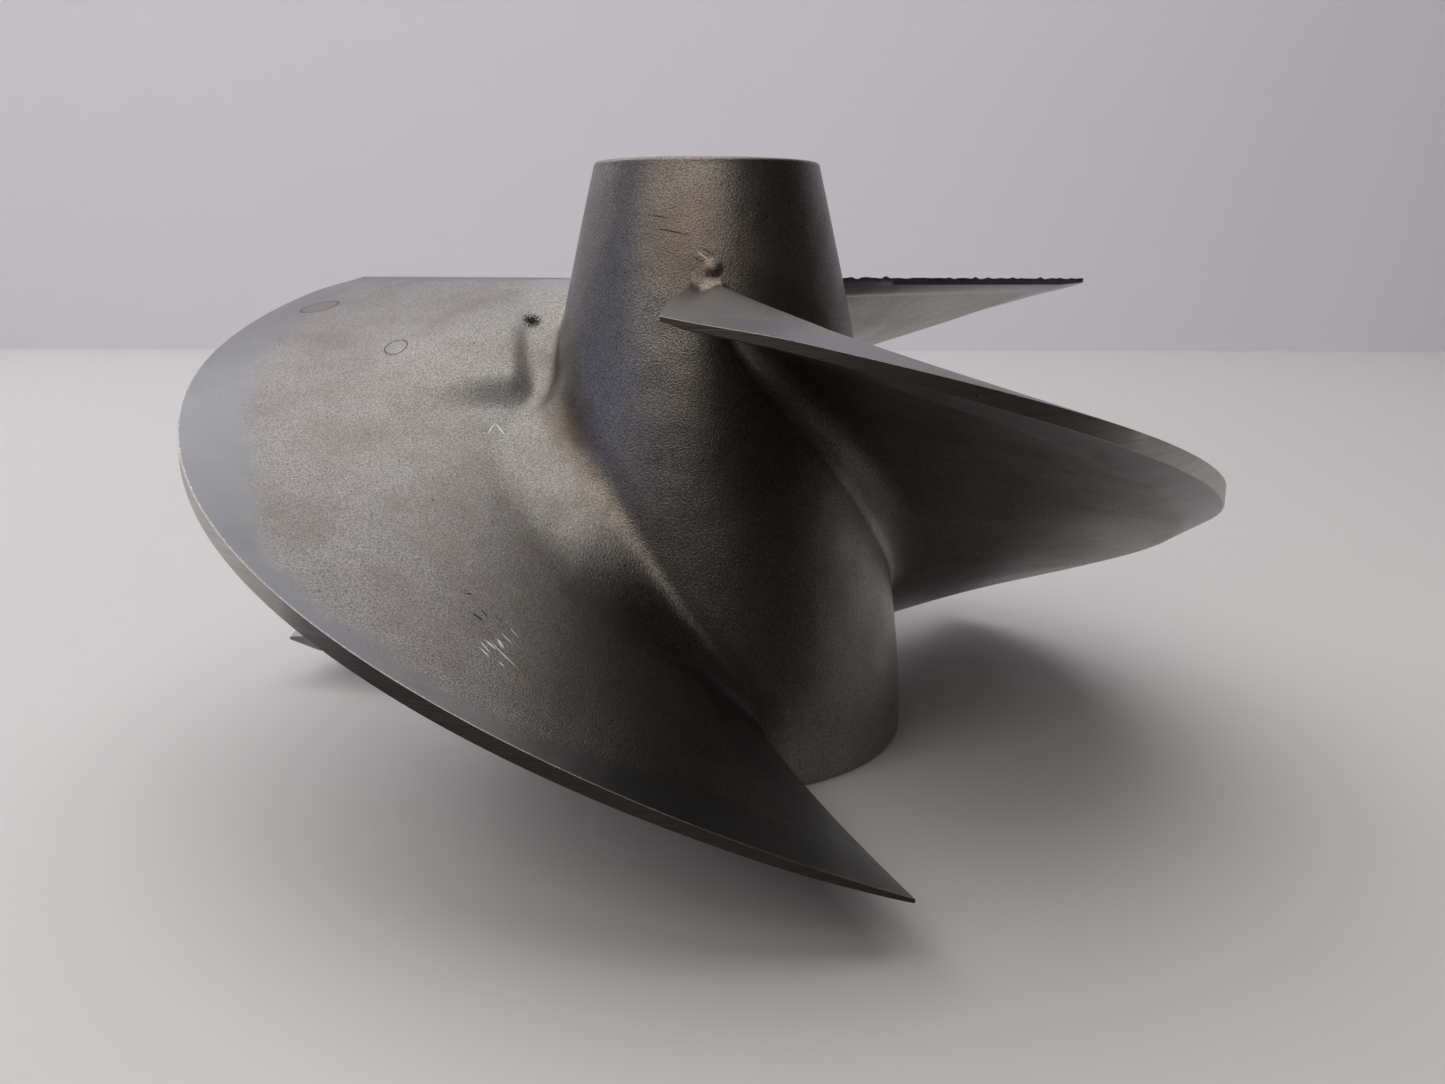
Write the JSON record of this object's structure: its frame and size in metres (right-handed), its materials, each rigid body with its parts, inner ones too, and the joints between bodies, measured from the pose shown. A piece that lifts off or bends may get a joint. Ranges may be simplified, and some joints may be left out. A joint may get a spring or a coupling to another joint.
{
  "type": "jet pump impeller",
  "caption": "Left-handed helical impeller for a small boat's jet pump: overlapping blades with turned rims on a hollow tapering hub, with a splined nose and a threaded rear socket.",
  "frame": {"origin": "centre of the hub's wide rear face, on which the impeller stands", "axes": "+Z along the shaft towards the nose, where the drive shaft enters; +X is 26.7 degrees clockwise, seen from the nose, of the tip of blade_1's leading edge"},
  "size_m": [0.1554, 0.1554, 0.0896],
  "materials": {
    "cast_steel": "blasted cast stainless steel, worn by use",
    "bored_steel": "machined stainless steel"
  },
  "bodies": {
    "root": {"hub_shell": "cast_steel", "drive_socket": "bored_steel", "shaft_socket": "bored_steel", "blade_1": "cast_steel", "blade_2": "cast_steel", "blade_3": "cast_steel"}
  },
  "joints": []
}
